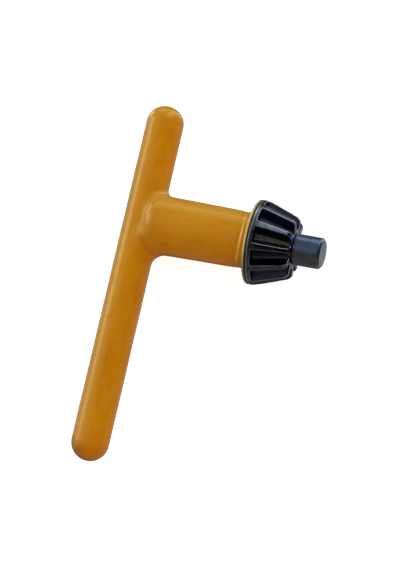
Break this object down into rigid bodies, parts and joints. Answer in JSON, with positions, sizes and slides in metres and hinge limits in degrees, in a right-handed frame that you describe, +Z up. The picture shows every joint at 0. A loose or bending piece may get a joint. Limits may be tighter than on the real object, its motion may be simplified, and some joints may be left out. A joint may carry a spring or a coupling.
{
  "type": "chuck key",
  "caption": "T-handled chuck key: a vinyl-dipped off-centre cross bar and shank carrying a bevel pinion with a closed rim and a plain pilot pin.",
  "frame": {"origin": "on the pilot's axis, at the middle of the pinion's front face, where the pilot leaves it", "axes": "+X out along the pilot, +Y along the cross bar to its short end, +Z up, square to the plane of the T"},
  "size_m": [0.0403, 0.0709, 0.0166],
  "materials": {
    "vinyl": "soft-gloss dipped vinyl, orange-amber",
    "bar_steel": "plain cold-drawn bar, hidden in the coating",
    "black_oxide": "black oxide on cut gear steel, oiled",
    "blued_pin": "blued hardened pin, ground smooth"
  },
  "bodies": {
    "root": {"vinyl_coating": "vinyl", "cross_bar": "bar_steel", "spindle": "bar_steel", "pinion_gear": "black_oxide", "pilot_pin": "blued_pin"}
  },
  "joints": []
}
